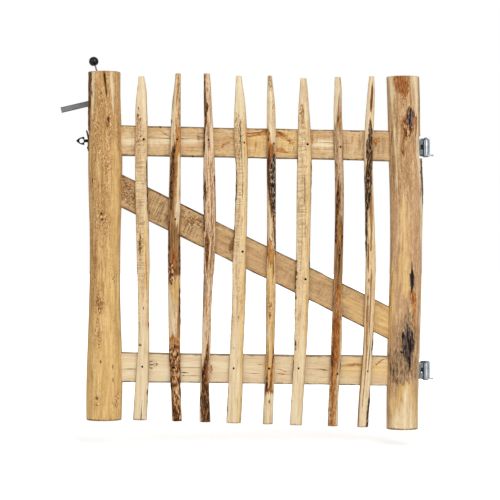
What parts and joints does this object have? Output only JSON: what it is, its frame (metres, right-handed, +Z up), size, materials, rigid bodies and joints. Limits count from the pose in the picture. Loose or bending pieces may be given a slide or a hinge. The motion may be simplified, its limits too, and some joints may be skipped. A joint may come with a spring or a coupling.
{
  "type": "wooden garden gate",
  "caption": "Rustic chestnut garden gate leaf: round stiles, sawn rails and brace, cleft pales nailed on, hung on pintle brackets, with a ball-knobbed fall-bar latch and padlock eye.",
  "frame": {"origin": "centre of the flat back face of the lower hinge bracket, where it meets the fence post", "axes": "+Y out of the bracket face towards the fence post behind it, +Z up, +X away from the leaf; the leaf reaches towards -X and its pales face -Y"},
  "size_m": [1.0772, 0.1194, 1.0757],
  "materials": {
    "honey_pole": "peeled chestnut pole, honey coloured, satin",
    "tan_pole": "peeled chestnut pole, tan with bark and knot scars",
    "sawn_rail": "rough sawn chestnut board",
    "sawn_brace": "rough sawn chestnut board, browner",
    "pale_light": "cleft chestnut, pale cream yellow with saw lines",
    "pale_brown": "cleft chestnut, red brown",
    "pale_barky": "cleft chestnut with dark bark strips",
    "zinc_steel": "zinc plated steel",
    "latch_steel": "dull grey plated steel",
    "black_steel": "black painted steel",
    "black_knob": "glossy black ball knob"
  },
  "bodies": {
    "hinge_brackets": {"lower_hinge_bracket": "zinc_steel", "upper_hinge_bracket": "zinc_steel", "lower_hinge_pin": "zinc_steel", "upper_hinge_pin": "zinc_steel"},
    "gate_leaf": {"latch_stile": "honey_pole", "hinge_stile": "tan_pole", "top_rail": "sawn_rail", "bottom_rail": "sawn_rail", "diagonal_brace": "sawn_brace", "pale_1": "pale_light", "pale_2": "pale_barky", "pale_3": "pale_brown", "pale_4": "pale_light", "pale_5": "pale_brown", "pale_6": "pale_light", "pale_7": "pale_brown", "pale_8": "pale_barky", "upper_hinge_eye": "zinc_steel", "lower_hinge_eye": "zinc_steel", "latch_plate": "zinc_steel", "latch_staple": "zinc_steel", "latch_pivot_bolt": "zinc_steel", "latch_spacer": "zinc_steel", "padlock_plate": "black_steel", "padlock_eye": "black_steel"},
    "latch_lever": {"latch_bar": "latch_steel", "latch_stem": "latch_steel", "ball_knob": "black_knob"}
  },
  "joints": [
    {"name": "leaf_swing", "type": "hinge", "parent": "hinge_brackets", "child": "gate_leaf", "pos_m": [0, -0.024, 0], "axis": [0, 0, 1], "range_deg": [0, 90]},
    {"name": "latch_lift", "type": "hinge", "parent": "gate_leaf", "child": "latch_lever", "pos_m": [-0.923, 0.0303, 0.782], "axis": [0, 1, 0], "range_deg": [0, 38]}
  ]
}
